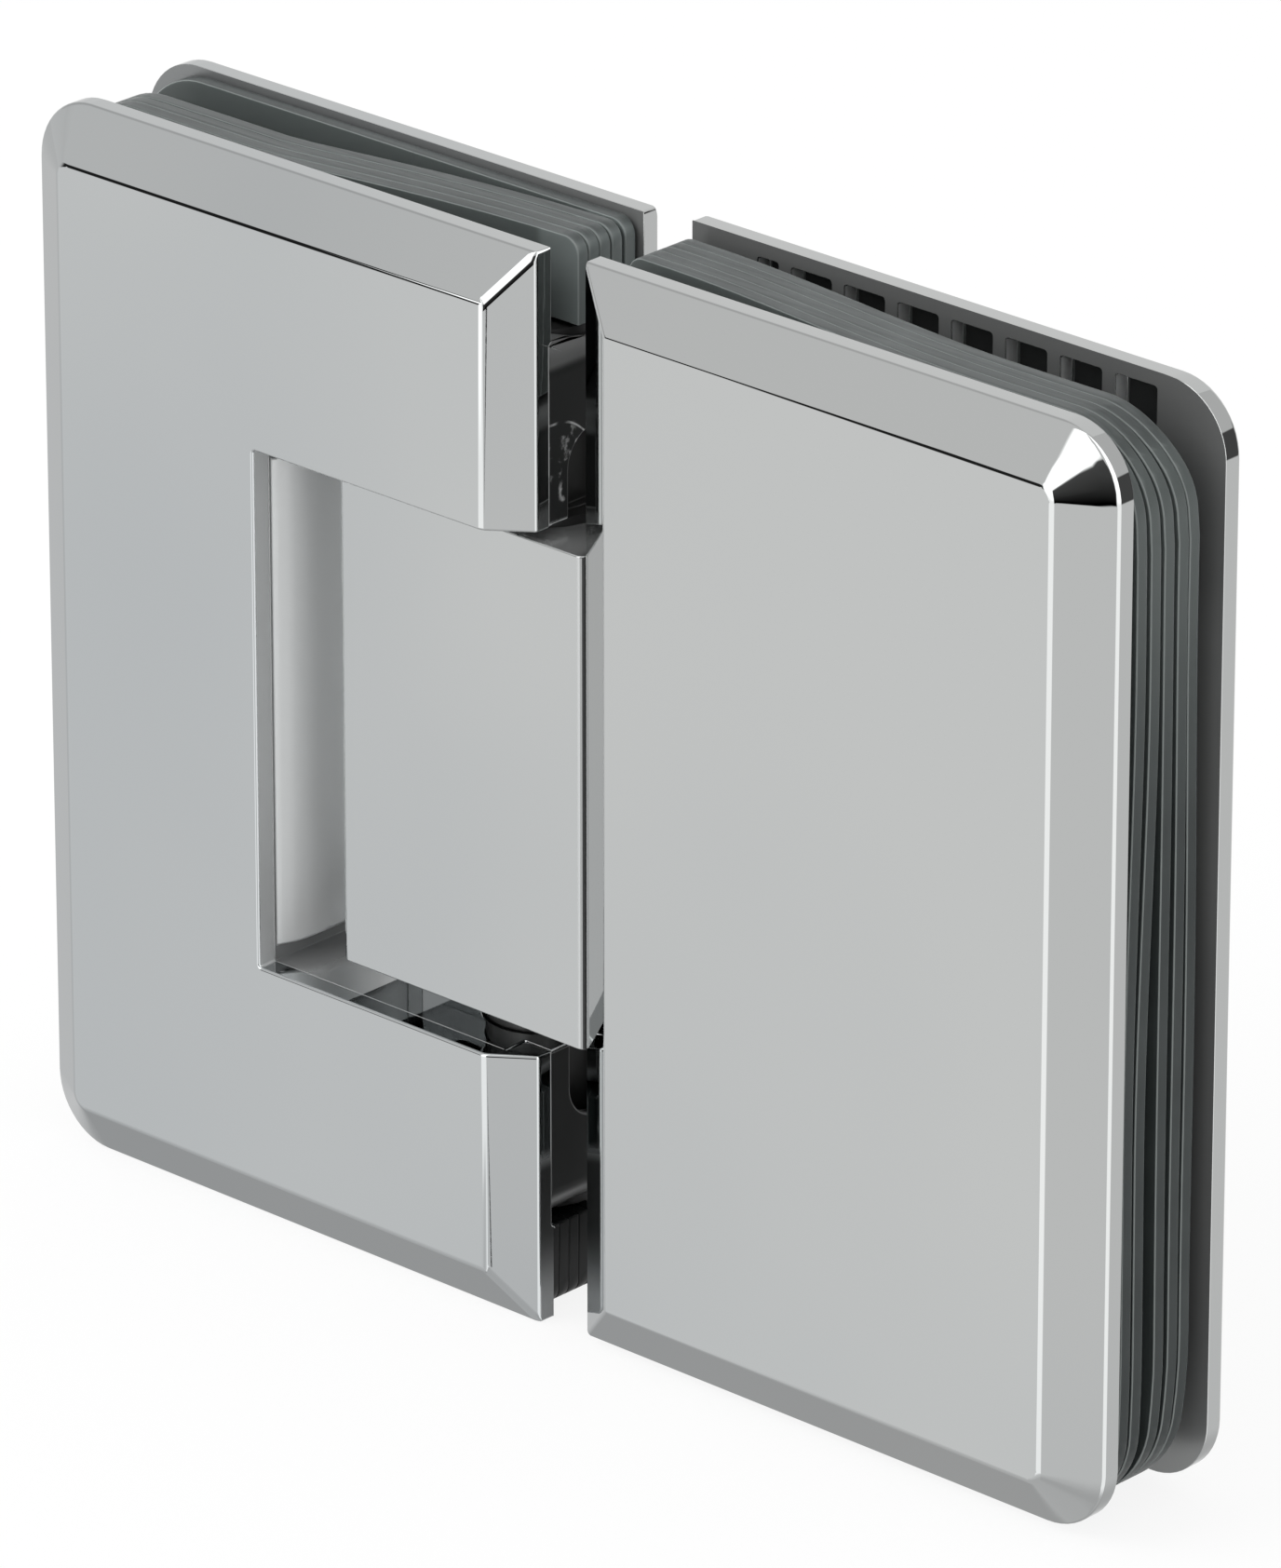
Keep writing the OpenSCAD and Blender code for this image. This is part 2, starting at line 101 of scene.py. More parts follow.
def select_only(piece):
    for other in bpy.context.view_layer.objects:
        other.select_set(False)
    piece.select_set(True)
    bpy.context.view_layer.objects.active = piece


def cast_copy(node):
    """A copy of a CAD node's mesh with its loose triangles joined into flat faces."""
    piece = bpy.data.objects.new(node + "_finished", frame["nodes"][node].data.copy())
    bpy.context.collection.objects.link(piece)
    select_only(piece)
    bpy.ops.mesh.customdata_custom_splitnormals_clear()
    bpy.ops.object.mode_set(mode="EDIT")
    bpy.ops.mesh.select_all(action="SELECT")
    bpy.ops.mesh.remove_doubles(threshold=0.001 * mm)
    bpy.ops.mesh.dissolve_limited(angle_limit=math.radians(0.3))
    bpy.ops.object.mode_set(mode="OBJECT")
    bpy.ops.object.shade_smooth_by_angle(angle=math.radians(35))
    return piece


def apply_all(piece):
    select_only(piece)
    for modifier in list(piece.modifiers):
        bpy.ops.object.modifier_apply(modifier=modifier.name)


def round_over(piece, width, steps=3, broad=None):
    """Rounds the sharp edges. The function broad gives an edge a width of its own."""
    shape = bmesh.new()
    shape.from_mesh(piece.data)
    weight = shape.edges.layers.float.new("bevel_weight_edge")
    widest = width
    for edge in shape.edges:
        if len(edge.link_faces) == 2 and edge.calc_face_angle() > math.radians(35):
            wanted = broad(edge) if broad else width
            widest = max(widest, wanted)
            edge[weight] = wanted
    for edge in shape.edges:
        edge[weight] = edge[weight] / widest
    shape.to_mesh(piece.data)
    shape.free()
    edges = piece.modifiers.new("rounded edges", "BEVEL")
    edges.width = widest
    edges.segments = steps
    edges.limit_method = "WEIGHT"
    edges.use_clamp_overlap = False
    edges.miter_outer = "MITER_ARC"
    apply_all(piece)


def true_flats(piece):
    """Smooth shading that leaves the flat faces flat."""
    select_only(piece)
    bpy.ops.object.shade_smooth()
    flats = piece.modifiers.new("true flats", "WEIGHTED_NORMAL")
    flats.keep_sharp = False
    apply_all(piece)


def ease_edges(piece, width, steps=3, broad=None):
    """Rounds the sharp edges that polishing takes off, and keeps the flats flat."""
    round_over(piece, width, steps, broad)
    true_flats(piece)


def stand_in(piece, node, body):
    """The finished piece takes its node's place."""
    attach(piece, body)
    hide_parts(node)


def finish_with(piece, material):
    piece.data.materials.clear()
    piece.data.materials.append(material)


def add(tree, kind, **settings):
    """A shader node with its settings."""
    node = tree.nodes.new("ShaderNode" + kind)
    for name, value in settings.items():
        setattr(node, name, value)
    return node


def plug(tree, value, socket):
    """Links a socket, or sets it to a plain value."""
    if isinstance(value, bpy.types.NodeSocket):
        tree.links.new(value, socket)
    else:
        socket.default_value = value


def feed(tree, node, **inputs):
    for name, value in inputs.items():
        plug(tree, value, node.inputs[name.replace("_", " ")])
    return node


def compute(tree, operation, first, second=0.0, third=0.0):
    node = add(tree, "Math", operation=operation)
    for socket, value in zip(node.inputs, (first, second, third)):
        plug(tree, value, socket)
    return node.outputs[0]


def times(tree, value, *factors):
    for factor in factors:
        value = compute(tree, "MULTIPLY", value, factor)
    return value


def plus(tree, value, mask, share):
    """The value with that share of the mask added to it."""
    return compute(tree, "MULTIPLY_ADD", mask, share, value)


def rest_of(tree, value):
    """What the value leaves of 1."""
    return compute(tree, "SUBTRACT", 1.0, value)


def larger(tree, first, second):
    return compute(tree, "MAXIMUM", first, second)


def size_of(tree, value):
    return compute(tree, "ABSOLUTE", value)


def ramp_up(tree, value, low, high):
    """Rises smoothly from 0 to 1 between low and high."""
    node = feed(tree, add(tree, "MapRange", interpolation_type="SMOOTHSTEP"), Value=value)
    return feed(tree, node, From_Min=low, From_Max=high).outputs[0]


def window(tree, value, low, high, soft):
    """1 between low and high and 0 outside, with soft borders."""
    rise = ramp_up(tree, value, low - soft / 2, low + soft / 2)
    fall = ramp_up(tree, value, high + soft / 2, high - soft / 2)
    return times(tree, rise, fall)


def blend_to(tree, mask, start, end):
    node = add(tree, "Mix", data_type="FLOAT")
    for index, value in ((0, mask), (2, start), (3, end)):
        plug(tree, value, node.inputs[index])
    return node.outputs[0]


def tint_to(tree, mask, start, end):
    node = add(tree, "Mix", data_type="RGBA")
    for index, value in ((0, mask), (6, start), (7, end)):
        plug(tree, value, node.inputs[index])
    return node.outputs[2]


def place_in(tree):
    """The X, Y and Z of a point of the piece."""
    return feed(tree, add(tree, "SeparateXYZ"), Vector=add(tree, "TexCoord").outputs["Object"]).outputs


def facing_in(tree):
    """The X, Y and Z of the direction that a face of the piece looks in."""
    return feed(tree, add(tree, "SeparateXYZ"), Vector=add(tree, "TexCoord").outputs["Normal"]).outputs


def squareness_in(tree):
    """1 on the faces that are square to the piece, and less on rounded and slanting ones."""
    sizes = [size_of(tree, part) for part in facing_in(tree)]
    return larger(tree, larger(tree, sizes[0], sizes[1]), sizes[2])


def mottle_in(tree, scale, detail):
    """A cloudy pattern that stays on the piece."""
    given = add(tree, "TexCoord").outputs["Object"]
    return feed(tree, add(tree, "TexNoise"), Vector=given, Scale=scale, Detail=detail).outputs[0]


def polish_group():
    """Plated metal: faint drift of tint and haze, buffed waves, and where hidden a dull skin in painted
    shade.
    """
    group = bpy.data.node_groups.new("Buffed plating", "ShaderNodeTree")
    sockets = (
        ("Clean colour", "INPUT", "Color"),
        ("Cool colour", "INPUT", "Color"),
        ("Haze", "INPUT", "Float"),
        ("Wave", "INPUT", "Float"),
        ("Hidden", "INPUT", "Float"),
        ("Satin", "INPUT", "Float"),
        ("Color", "OUTPUT", "Color"),
        ("Metallic", "OUTPUT", "Float"),
        ("Roughness", "OUTPUT", "Float"),
        ("Normal", "OUTPUT", "Vector"),
    )
    for name, way, kind in sockets:
        group.interface.new_socket(name, in_out=way, socket_type="NodeSocket" + kind)
    given = group.nodes.new("NodeGroupInput").outputs
    satin = given["Satin"]
    x, y, z = place_in(group)

    # The tint goes from clean to cool in patches, and to the left and down as a whole.
    drift = plus(group, 0.25, mottle_in(group, 24.0, 1.5), 0.7)
    drift = plus(group, drift, x, -6.5)
    drift = plus(group, drift, z, -4.0)
    tint = tint_to(group, ramp_up(group, drift, 0.1, 0.9), given["Clean colour"], given["Cool colour"])

    # Hidden faces are left dull and painted dark as shade, their rounded edges a little less so.
    # Satin ones are matt.
    square = ramp_up(group, squareness_in(group), 0.93, 0.99)
    dull_and_painted_dark = times(group, given["Hidden"], plus(group, 0.7, square, 0.3))
    dull_and_painted_dark = compute(group, "MINIMUM", dull_and_painted_dark, 1.0)
    outer = ramp_up(group, size_of(group, y), 4.5 * mm, 7 * mm)
    matt = tint_to(group, outer, (0.86, 0.87, 0.87, 1), (0.66, 0.67, 0.67, 1))
    tint = tint_to(group, satin, tint, matt)
    tint_and_painted_dark = tint_to(group, dull_and_painted_dark, tint, (0.012, 0.013, 0.013, 1))
    mirror = blend_to(group, satin, rest_of(group, dull_and_painted_dark), 0.6)

    haze = plus(group, 0.01, mottle_in(group, 240.0, 3.0), given["Haze"])
    haze = blend_to(group, satin, haze, 0.42)
    haze = blend_to(group, dull_and_painted_dark, haze, 0.5)
    waves = mottle_in(group, 60.0, 0.0)
    bump = feed(group, add(group, "Bump"), Height=waves, Strength=given["Wave"], Distance=0.02 * mm)
    result = group.nodes.new("NodeGroupOutput")
    feed(group, result, Color=tint_and_painted_dark, Metallic=mirror, Roughness=haze, Normal=bump.outputs[0])
    return group


buffed_plating = polish_group()


def plated_metal(name, clean, cool, haze=0.02, wave=0.1):
    """A plated metal. Its hidden places in painted shade and satin places are set afterwards by linking a
    mask.
    """
    material = bpy.data.materials.new(name)
    material.use_nodes = True
    tree = material.node_tree
    shader = tree.nodes["Principled BSDF"]
    plating = add(tree, "Group", node_tree=buffed_plating)
    feed(tree, plating, Clean_colour=(*clean, 1), Cool_colour=(*cool, 1), Haze=haze, Wave=wave)
    tree.links.new(plating.outputs["Color"], shader.inputs["Base Color"])
    for socket in ("Metallic", "Roughness", "Normal"):
        tree.links.new(plating.outputs[socket], shader.inputs[socket])
    return material, tree, plating


clean_chrome, cool_chrome = (0.527, 0.537, 0.533), (0.455, 0.475, 0.484)
knuckle_chrome, tree, plating = plated_metal("Chrome of the knuckle", clean_chrome, cool_chrome)
x = place_in(tree)["X"]
facing = facing_in(tree)

# The block is painted dark as shade from the plates' edges on. The head's right corner is rounded:
# its front half has a faint painted reflection of the dark gap, and its back half a full one.
plates_start = reach("fixed_front_plate")[0].x
painted_dark = ramp_up(tree, x, plates_start - 0.15 * mm, plates_start)
for low, high, share in ((0.12, 0.6, 0.25), (0.62, 0.97, 1.4)):
    painted_dark = plus(tree, painted_dark, window(tree, facing[0], low, high, 0.02), share)
plug(tree, painted_dark, plating.inputs["Hidden"])

# Its top is brushed in the gap.
top = times(tree, window(tree, x, -7 * mm, 2 * mm, 2 * mm), ramp_up(tree, facing[2], 0.9, 0.99))
plug(tree, times(tree, top, 0.5), plating.inputs["Satin"])

knuckle = cast_copy("knuckle")
ease_edges(knuckle, 0.14 * mm)
finish_with(knuckle, knuckle_chrome)
stand_in(knuckle, "knuckle", "fixed_clamp")


# Pivot pin, grub screws and thrust washer
# The pin is ground steel, squared where the plungers press. Two grub screws lock it in the knuckle,
# and a nylon washer under the door clamp's upper arm takes its weight.

ground_steel, tree, plating = plated_metal("Ground steel", (0.16, 0.16, 0.155), (0.11, 0.11, 0.11), 0.3, 0.3)
place = place_in(tree)

# What stands in the arms and the knuckle gets no light.
in_arms = window(tree, place["X"], -16 * mm, 2 * mm, 1 * mm)
in_arms = times(tree, in_arms, window(tree, place["Y"], -5 * mm, 5 * mm, 1 * mm))
plug(tree, times(tree, in_arms, 0.8), plating.inputs["Hidden"])
for node in ("pivot_pin", "grub_screws"):
    piece = cast_copy(node)
    ease_edges(piece, 0.12 * mm, 2)
    finish_with(piece, ground_steel)
    stand_in(piece, node, "fixed_clamp")


def plain_plastic(name, colour, roughness):
    """Moulded plastic with a faint mottle."""
    material = bpy.data.materials.new(name)
    material.use_nodes = True
    tree = material.node_tree
    shader = tree.nodes["Principled BSDF"]
    shader.inputs["Roughness"].default_value = roughness
    ramp = feed(tree, add(tree, "ValToRGB"), Fac=mottle_in(tree, 500.0, 2.0))
    for stop, strength in zip(ramp.color_ramp.elements, (0.8, 1.25)):
        stop.color = (*[part * strength for part in colour], 1)
    tree.links.new(ramp.outputs[0], shader.inputs["Base Color"])
    return material


nylon = plain_plastic("Black nylon", (0.02, 0.02, 0.02), 0.45)
finish_with(frame["nodes"]["thrust_washer"], nylon)


# Door block
# The zinc casting of the door clamp: a C whose two arms hold the pin's ends. Its back wall shows in
# the notch and is only blasted satin before plating. By the gap the upper arm has painted glints.

# The plates lie against the block, and the first gasket sheet lies on the slot's front wall.
block_half = reach("door_block")[1].y
slot_half = -reach("door_gasket_1")[0].y
notch_low, notch_high, notch_back = 23 * mm, 67 * mm, -30.5 * mm

block_finish, tree, plating = plated_metal("Satin plating", (0.62, 0.625, 0.62), (0.56, 0.57, 0.575))
x, y, z = place_in(tree)
depth = size_of(tree, y)

# The wall is satin between its rounded ends, but for the seams where the plates meet it.
wall = window(tree, z, notch_low + 1.2 * mm, notch_high - 1.2 * mm, 0.3 * mm)
seam = window(tree, depth, block_half - 0.2 * mm, block_half + 0.1 * mm, 0.1 * mm)
satin = times(tree, ramp_up(tree, x, -27 * mm, -27.5 * mm), wall, plus(tree, 1.0, seam, -0.7))

# All outside the notch is painted dark as shade, and the polished foot of the wall has a painted shadow.
in_notch = window(tree, z, notch_low - 0.3 * mm, notch_high + 0.3 * mm, 0.2 * mm)
shadow = times(tree, ramp_up(tree, x, -25 * mm, -28 * mm), rest_of(tree, satin))
unshaded = times(tree, in_notch, plus(tree, 1.0, shadow, -0.45))

# Painted glints: bright specks on the upper arm's face by the gap, under a painted highlight line
# that sags in the middle.
arc_top, arc_half, arc_sag, glints_fall = 75.2 * mm, 4.3 * mm, 160.0, 8.5 * mm
middle = larger(tree, compute(tree, "SUBTRACT", arc_half, depth), 0.0)
arc_line = compute(tree, "SUBTRACT", arc_top, times(tree, middle, middle, arc_sag))
below = compute(tree, "SUBTRACT", arc_line, z)
glint_noise = mottle_in(tree, 700.0, 4.0)
glint_specks = times(tree, ramp_up(tree, glint_noise, 0.54, 0.66), window(tree, below, 0, glints_fall, 1 * mm))
arc_highlight = times(tree, window(tree, below, -0.2 * mm, 0, 0.1 * mm), ramp_up(tree, glint_noise, 0.3, 0.6))
by_gap = ramp_up(tree, x, -3.6 * mm, -3.2 * mm)
painted_glints = times(tree, larger(tree, glint_specks, arc_highlight), by_gap, window(tree, depth, 0.8 * mm, 6.7 * mm, 0.3 * mm))
plug(tree, compute(tree, "SUBTRACT", rest_of(tree, unshaded), painted_glints), plating.inputs["Hidden"])
plug(tree, larger(tree, satin, painted_glints), plating.inputs["Satin"])


def inner_edges_fine(edge):
    """The edges that meet another casting are left nearly sharp."""
    first, last = [abs(point.co.y) for point in edge.verts]
    level = abs(first - last) < 0.02 * mm
    meets = min(abs(first - slot_half), abs(first - block_half)) < 0.05 * mm
    return (0.05 if level and meets else 0.25) * mm


door_block = cast_copy("door_block")
ease_edges(door_block, 0.25 * mm, broad=inner_edges_fine)
finish_with(door_block, block_finish)
stand_in(door_block, "door_block", "door_clamp")


# Bushes, plungers and springs in the arms
# Nylon bushes carry the pin's journals. Brass plungers are pressed on the pin's flats by steel
# springs, which shorten as the plungers go in, and a hex screw closes each channel.

for node in ("upper_bush", "lower_bush"):
    finish_with(frame["nodes"][node], nylon)
turned_brass = plated_metal("Turned brass", (0.55, 0.44, 0.22), (0.45, 0.36, 0.2), 0.3, 0.3)[0]
spring_wire = plated_metal("Spring wire", (0.30, 0.30, 0.30), (0.22, 0.22, 0.22), 0.3, 0.2)[0]
for end in ("upper", "lower"):
    finish_with(frame["nodes"][end + "_plunger"], turned_brass)
    finish_with(frame["nodes"][end + "_spring_screw"], ground_steel)
    spring = cast_copy(end + "_spring")
    finish_with(spring, spring_wire)
    stand_in(spring, end + "_spring", "door_clamp")
    seat, tip = (pick(point.co.x for point in spring.data.vertices) for pick in (min, max))
    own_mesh(spring)


# Clamp plates
# Each clamp is closed by two zinc castings with bevelled rims, polished and chrome plated. Screws
# from the back draw them together on the glass.

plate_chrome, tree, plating = plated_metal("Chrome of the plates", clean_chrome, cool_chrome)
x, y, z = place_in(tree)
facing = facing_in(tree)
inward = times(tree, y, facing[1])
sideways = ramp_up(tree, size_of(tree, facing[0]), 0.9, 0.98)

# The slot's walls are dull and painted dark as shade, on the fixed clamp most of all under the upper
# rim and at the far foot.
under_rim = times(tree, window(tree, x, 2 * mm, 60 * mm, 6 * mm), ramp_up(tree, z, 70 * mm, 76 * mm))
far_end = window(tree, x, 45 * mm, 60 * mm, 4 * mm)
far_foot = times(tree, far_end, window(tree, z, 9 * mm, 48 * mm, 12 * mm))
slot_shade = blend_to(tree, larger(tree, under_rim, far_foot), 0.55, 0.73)
slot_wall = ramp_up(tree, inward, 0.15 * mm - slot_half, 0.05 * mm - slot_half)
painted_dark = times(tree, slot_wall, slot_shade)

# The pockets cast in them get more painted shade, lower down and by the gap a little more.
by_gap = ramp_up(tree, size_of(tree, x), 12 * mm, 6 * mm)
pocket_shade = plus(tree, 0.37, ramp_up(tree, z, 60 * mm, 35 * mm), 0.05)
pocket_shade = plus(tree, pocket_shade, by_gap, 0.1)
pockets = ramp_up(tree, inward, -0.03 * mm - slot_half, -0.1 * mm - slot_half)
painted_dark = plus(tree, painted_dark, pockets, pocket_shade)

# The plates' edges get painted shade at the gap's foot.
gap_foot_shade = times(tree, sideways, window(tree, x, -3 * mm, 3 * mm, 0.5 * mm))
gap_foot_shade = times(tree, gap_foot_shade, window(tree, z, -1 * mm, 14 * mm, 2 * mm))
painted_dark = plus(tree, painted_dark, gap_foot_shade, plus(tree, 0.55, ramp_up(tree, z, 1 * mm, 8 * mm), 0.45))
plug(tree, painted_dark, plating.inputs["Hidden"])

# The back of the notch and the sides of the pockets' upper ribs are only satin.
cut = window(tree, x, notch_back - 0.25 * mm, notch_back + 0.25 * mm, 0.1 * mm)
cut = times(tree, cut, window(tree, z, notch_low, notch_high, 0.1 * mm))
cut = times(tree, cut, window(tree, y, -9.2 * mm, 9.2 * mm, 0.1 * mm))
ribs = times(tree, sideways, ramp_up(tree, z, 74 * mm, 76 * mm))
ribs = times(tree, ribs, window(tree, size_of(tree, x), 6 * mm, 52 * mm, 1 * mm))
ribs = times(tree, ribs, window(tree, y, 5.3 * mm, 8.8 * mm, 0.2 * mm))
plug(tree, larger(tree, cut, ribs), plating.inputs["Satin"])


def broad_on_mitres(edge):
    """The polishing wheel took more off the mitred corners beside the gap."""
    run = (edge.verts[1].co - edge.verts[0].co).normalized()
    slanting = min(abs(part) for part in run) > 0.3
    return 0.6 * mm if slanting else inner_edges_fine(edge)


for clamp in ("fixed", "door"):
    for side in ("front", "back"):
        node = clamp + "_" + side + "_plate"
        plate = cast_copy(node)
        if clamp == "door":
            ease_edges(plate, 0.25 * mm, 4, broad_on_mitres)
        else:
            ease_edges(plate, 0.25 * mm, 3, inner_edges_fine)
        finish_with(plate, plate_chrome)
        stand_in(plate, node, clamp + "_clamp")


# Gasket sheets
# Die-cut sheets of clear grey soft plastic that pad the glass. They lie loose in the slot, so they
# lean back and fan out towards the rims.

gasket = bpy.data.materials.new("Clear grey gasket")
gasket.use_nodes = True
tree = gasket.node_tree
shader = tree.nodes["Principled BSDF"]
shader.inputs["Roughness"].default_value = 0.35
shader.inputs["Specular IOR Level"].default_value = 0.2
shader.inputs["Subsurface Weight"].default_value = 0.4
shader.inputs["Subsurface Radius"].default_value = (1, 1, 1)
shader.inputs["Subsurface Scale"].default_value = 1.5 * mm
x, _, z = place_in(tree)
facing = facing_in(tree)
upward = ramp_up(tree, facing[2], 0.5, 0.95)

# Cloudy all over, and streaked along the cut on top.
given = add(tree, "TexCoord").outputs["Object"]
drawn = feed(tree, add(tree, "Mapping"), Vector=given, Scale=(30, 2200, 30))
streaks = feed(tree, add(tree, "TexNoise"), Vector=drawn.outputs[0], Scale=1.0, Detail=2.0)
shade = plus(tree, 0.2, mottle_in(tree, 90.0, 3.0), 0.6)
shade = plus(tree, shade, streaks.outputs[0], times(tree, upward, 0.8))
top = tint_to(tree, ramp_up(tree, shade, 0.45, 1.3), (0.036, 0.041, 0.041, 1), (0.095, 0.106, 0.105, 1))

# The sides are painted dark as shade, and lighter near the top and by the gap, where light falls in.
side = tint_to(tree, ramp_up(tree, shade, 0.2, 0.8), (0.025, 0.03, 0.03, 1), (0.05, 0.058, 0.057, 1))
side = tint_to(tree, ramp_up(tree, z, 55 * mm, 85 * mm), side, (0.09, 0.102, 0.1, 1))
lit = times(tree, window(tree, x, -7 * mm, 0, 1 * mm), ramp_up(tree, z, 72 * mm, 84 * mm))
side = tint_to(tree, lit, side, (0.15, 0.17, 0.167, 1))
smoke_and_painted_light = tint_to(tree, upward, side, top)

# The front edges get a painted highlight, and deep down by the gap no light reaches the sheets.
edge = times(tree, ramp_up(tree, squareness_in(tree), 0.97, 0.9), ramp_up(tree, facing[1], 0.0, -0.3))
edge = times(tree, edge, plus(tree, 0.7, upward, -0.5))
smoke_and_painted_light = tint_to(tree, edge, smoke_and_painted_light, (0.24, 0.26, 0.255, 1))
deep = times(tree, window(tree, x, -40 * mm, 0, 2 * mm), ramp_up(tree, z, 20 * mm, 12 * mm))
smoke_and_painted_light = tint_to(tree, deep, smoke_and_painted_light, (0.008, 0.009, 0.009, 1))
tree.links.new(smoke_and_painted_light, shader.inputs["Base Color"])


def ease_in(value, low, high):
    part = min(max((value - low) / (high - low), 0), 1)
    return part * part * (3 - 2 * part)


def fixed_sheet_lift(i, x, z):
    """How far sheet i of the fixed clamp lies behind its place, in mm like x and z."""
    lean = 2.7 * ease_in(z, 62, 80) * (1 - ease_in(x, 6, 40))
    high, low = (1.1, 1.55, 1.95, 2.4, 2.5)[i], (0.6, 0.85, 2.2, 2.7, 2.95)[i]
    fan = low + (high - low) * ease_in(z, 30, 70)
    fan = fan * ease_in(x, 46, 55.3) * ease_in(z, 92, 80) * ease_in(z, -6, 14)
    wave = 0.1 * math.sin(z / 9 + i / 2) * ease_in(x, 46, 55.3) * ease_in(z, 86, 70)
    return lean + fan + wave


def door_sheet_lift(i, x, z):
    """How far sheet i of the door clamp lies behind its place, in mm like x and z."""
    lean = 3.6 * math.sin(math.pi / 2 * min(max((x + 34) / 32, 0), 1))
    lean = 4.3 if i == 4 else lean + (0, 0.12, 0.2, 0.38)[i]
    return lean * ease_in(z, 50, 80)


def bend_sheet(sheet, lift, i):
    """Cuts sheet i in strips of 2.5 mm both ways and bends it."""
    strip = 2.5
    shape = bmesh.new()
    shape.from_mesh(sheet.data)
    for way, steps in (((1, 0, 0), range(-22, 23)), ((0, 0, 1), range(1, 36))):
        for step in steps:
            parts = shape.verts[:] + shape.edges[:] + shape.faces[:]
            cut = [part * step * strip * mm for part in way]
            bmesh.ops.bisect_plane(shape, geom=parts, plane_co=cut, plane_no=way)
    for point in shape.verts:
        point.co.y += lift(i, point.co.x / mm, point.co.z / mm) * mm
    shape.to_mesh(sheet.data)
    shape.free()


for clamp, lift in (("fixed", fixed_sheet_lift), ("door", door_sheet_lift)):
    for i in range(5):
        node = clamp + "_gasket_" + str(i + 1)
        sheet = cast_copy(node)
        round_over(sheet, 0.15 * mm)
        bend_sheet(sheet, lift, i)
        true_flats(sheet)
        finish_with(sheet, gasket)
        stand_in(sheet, node, clamp + "_clamp")


# Clamp screws
# Countersunk steel screws with hex sockets, put in from the back. Two in each clamp draw its back
# plate to the bosses of the front one.

for clamp in ("fixed", "door"):
    node = clamp + "_clamp_screws"
    screws = cast_copy(node)
    ease_edges(screws, 0.12 * mm, 2)
    finish_with(screws, ground_steel)
    stand_in(screws, node, clamp + "_clamp")


# Floor
# A plain white floor. To the camera it is mostly its own white, so only a faint shadow shows, and
# the chrome sees the studio's white tent through it.

bpy.ops.mesh.primitive_plane_add(size=6, location=(0, 0, cad_low.z - 0.1 * mm))
floor = bpy.context.active_object
floor.name = "floor"
white = bpy.data.materials.new("White floor")
white.use_nodes = True
tree = white.node_tree
ray = add(tree, "LightPath").outputs
paint = tree.nodes["Principled BSDF"]
paint.inputs["Base Color"].default_value = (0.85, 0.85, 0.85, 1)
paint.inputs["Roughness"].default_value = 0.9
paint.inputs["Specular IOR Level"].default_value = 0


def mix_shaders(tree, share, first, second):
    node = feed(tree, add(tree, "MixShader"), Fac=share)
    tree.links.new(first.outputs[0], node.inputs[1])
    tree.links.new(second.outputs[0], node.inputs[2])
    return node


own_white = mix_shaders(tree, 0.88, paint, feed(tree, add(tree, "Emission"), Color=(1, 1, 1, 1)))
seen = mix_shaders(tree, ray["Is Camera Ray"], paint, own_white)
mirrored = mix_shaders(tree, ray["Is Glossy Ray"], seen, add(tree, "BsdfTransparent"))
tree.links.new(mirrored.outputs[0], tree.nodes["Material Output"].inputs["Surface"])
finish_with(floor, white)
floor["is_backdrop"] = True


# Studio
# A white tent all round, which lights evenly. What the chrome mirrors has bright strips in front and
# at the right, a dark line at the height of the horizon, and two black flags.

world = bpy.data.worlds.new("White tent")
bpy.context.scene.world = world
world.use_nodes = True
tree = world.node_tree
across, along, up = feed(
    tree, add(tree, "SeparateXYZ"), Vector=add(tree, "TexCoord").outputs["Generated"]
).outputs

# A mirrored direction's height over the horizon and its turn from straight ahead, in degrees.
degree = 180 / math.pi
height = times(tree, compute(tree, "ARCSINE", up), degree)
turn = times(tree, compute(tree, "ARCTAN2", across, times(tree, along, -1.0)), degree)

# The cloth is a little darker right of the middle, high up, behind, at the left and low down, and
# lighter again high up far to the left.
level = blend_to(tree, window(tree, turn, 5, 60, 14), 1.0, 0.9)
level = blend_to(tree, ramp_up(tree, height, -8, 12), level, 0.85)
behind = larger(tree, ramp_up(tree, turn, -60, -100), ramp_up(tree, turn, 122, 132))
level = times(tree, level, blend_to(tree, behind, 1.0, 0.84))
level = times(tree, level, blend_to(tree, window(tree, turn, -125, -75, 20), 1.0, 0.88))
far_left = times(tree, ramp_up(tree, turn, -105, -130), ramp_up(tree, height, 0, 15))
level = times(tree, level, blend_to(tree, far_left, 1.0, 1.27))
level = times(tree, level, blend_to(tree, ramp_up(tree, height, -30, -50), 1.0, 0.72))

# The bright strips in front and at the right.
strip_light = blend_to(tree, ramp_up(tree, height, -18, -8), 1.55, 2.3)
front = times(tree, window(tree, turn, -28, 8, 6), ramp_up(tree, height, -36, -30))
right = times(tree, window(tree, turn, 45, 120, 8), ramp_up(tree, height, -60, -40))
strips = larger(tree, front, right)
level = blend_to(tree, strips, level, strip_light)

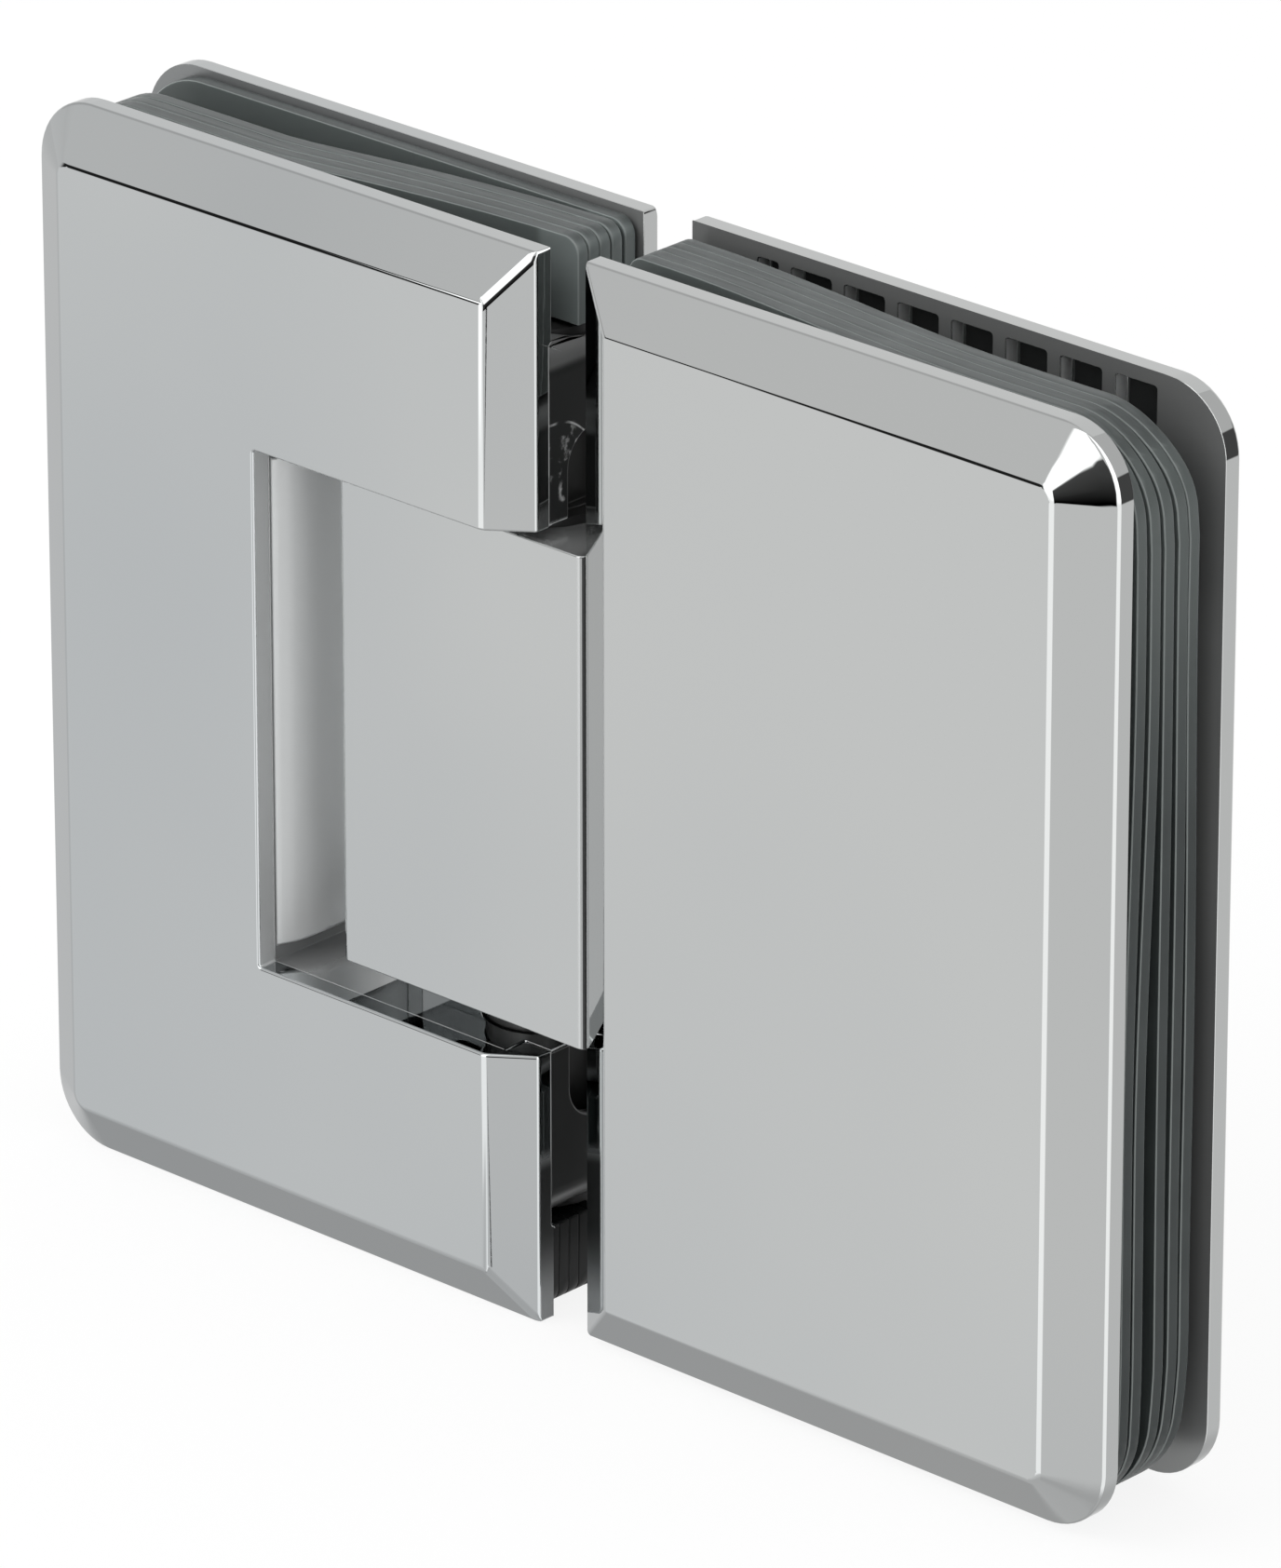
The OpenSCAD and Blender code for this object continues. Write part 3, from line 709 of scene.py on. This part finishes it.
# The horizon's line is nearly black ahead on the left and grey elsewhere. Two black flags stand in
# the tent, one beside the front strip and one behind on the right.
horizon = times(tree, window(tree, height, -7, 8, 3), rest_of(tree, strips))
grey = blend_to(tree, ramp_up(tree, turn, -60, -72), 0.55, 0.82)
line = blend_to(tree, window(tree, turn, -58, -20, 12), grey, 0.02)
level = blend_to(tree, horizon, level, line)
flag = times(tree, window(tree, height, -19, 19, 2), window(tree, turn, 7.5, 36, 3))
level = blend_to(tree, flag, level, plus(tree, 0.05, height, 0.003))
back_flag = times(tree, window(tree, height, -17, 13, 2), window(tree, turn, 122, 160, 6))
level = blend_to(tree, back_flag, level, 0.09)

tent = feed(tree, tree.nodes["Background"], Color=(1, 1, 1, 1), Strength=level)
plain = feed(tree, add(tree, "Background"), Color=(1, 1, 1, 1), Strength=1.0)
lit = mix_shaders(tree, add(tree, "LightPath").outputs["Is Glossy Ray"], plain, tent)
tree.links.new(lit.outputs[0], tree.nodes["World Output"].inputs["Surface"])

bpy.ops.object.light_add(type="AREA", location=(-0.5, -0.7, 0.9))
key = bpy.context.active_object
key.name = "soft_box"
key.data.shape = "RECTANGLE"
key.data.size, key.data.size_y = 0.8, 0.6
key.data.energy = 6
key.rotation_euler = (Vector((0, 0, 0.045)) - key.location).to_track_quat("-Z", "Y").to_euler()
key.visible_glossy = False


# Camera
# A long lens from the front right and above, where the photograph was taken from.

aim = Vector((1.966, 0, 45.307)) * mm
back = Vector((0.6241, -0.6744, 0.3946))
distance = 976
photo_height, lens_in_pixels, sensor = 1684, 13550, 36
bpy.ops.object.camera_add(location=aim + back * distance * mm)
camera = bpy.context.active_object
camera.rotation_euler = (-back).to_track_quat("-Z", "Y").to_euler()
camera.data.sensor_fit = "AUTO"
camera.data.sensor_width = sensor
camera.data.lens = lens_in_pixels / photo_height * sensor
camera.data.clip_start, camera.data.clip_end = 0.05, 50
bpy.context.scene.camera = camera

bpy.context.scene.view_settings.view_transform = "Standard"


# Sizes
# The dressed part's box, in metres.

low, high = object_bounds()
